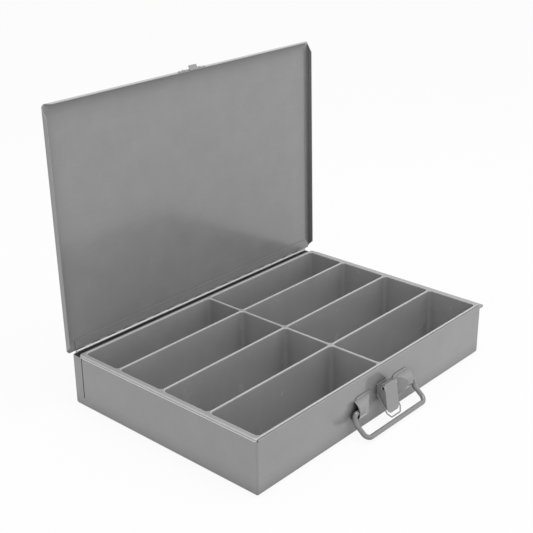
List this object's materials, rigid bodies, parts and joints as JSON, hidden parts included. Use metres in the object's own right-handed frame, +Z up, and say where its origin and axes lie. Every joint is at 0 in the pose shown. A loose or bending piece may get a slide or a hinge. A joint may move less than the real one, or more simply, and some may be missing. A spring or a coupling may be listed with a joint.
{
  "type": "steel compartment box",
  "caption": "Shallow grey steel storage case with a hinged lid, a divided liner, a front lever latch with wire bail and a drop carry handle.",
  "frame": {"origin": "centre of the tray's flat underside", "axes": "+X to the right along the hinge seen from the front, +Y from the latch towards the hinge, +Z up"},
  "size_m": [0.4584, 0.3365, 0.3843],
  "materials": {
    "grey_enamel": "semi-gloss",
    "grey_liner": "satin",
    "hinge_steel": "satin",
    "latch_steel": "semi-gloss",
    "wire_steel": "semi-gloss"
  },
  "bodies": {
    "case": {"case_tray": "grey_enamel", "back_panel": "grey_enamel", "insert_tray": "grey_liner", "hinge_case_leaf": "hinge_steel", "hinge_pin": "hinge_steel", "latch_bracket": "latch_steel", "bracket_rivets": "hinge_steel", "lever_pin": "hinge_steel", "handle_plate_left": "grey_enamel", "handle_plate_right": "grey_enamel"},
    "lid": {"lid_pan": "grey_enamel", "hinge_lid_leaf": "grey_enamel", "latch_strike": "latch_steel", "strike_rivets": "hinge_steel"},
    "lever": {"latch_lever": "latch_steel"},
    "bail": {"latch_bail": "wire_steel"},
    "handle": {"carry_handle": "wire_steel"}
  },
  "joints": [
    {"name": "lid_hinge", "type": "hinge", "parent": "case", "child": "lid", "pos_m": [0, 0.14815, 0.0709], "axis": [1, 0, 0], "range_deg": [0, 91.13]},
    {"name": "handle_swing", "type": "hinge", "parent": "case", "child": "handle", "pos_m": [0, -0.1565, 0.031], "axis": [-1, 0, 0], "range_deg": [0, 85]},
    {"name": "lever_turn", "type": "hinge", "parent": "case", "child": "lever", "pos_m": [0, -0.1622, 0.0475], "axis": [-1, 0, 0], "range_deg": [0, 152]},
    {"name": "bail_swing", "type": "hinge", "parent": "lever", "child": "bail", "pos_m": [0, -0.1554, 0.0377], "axis": [-1, 0, 0], "range_deg": [0, 132.3]}
  ]
}
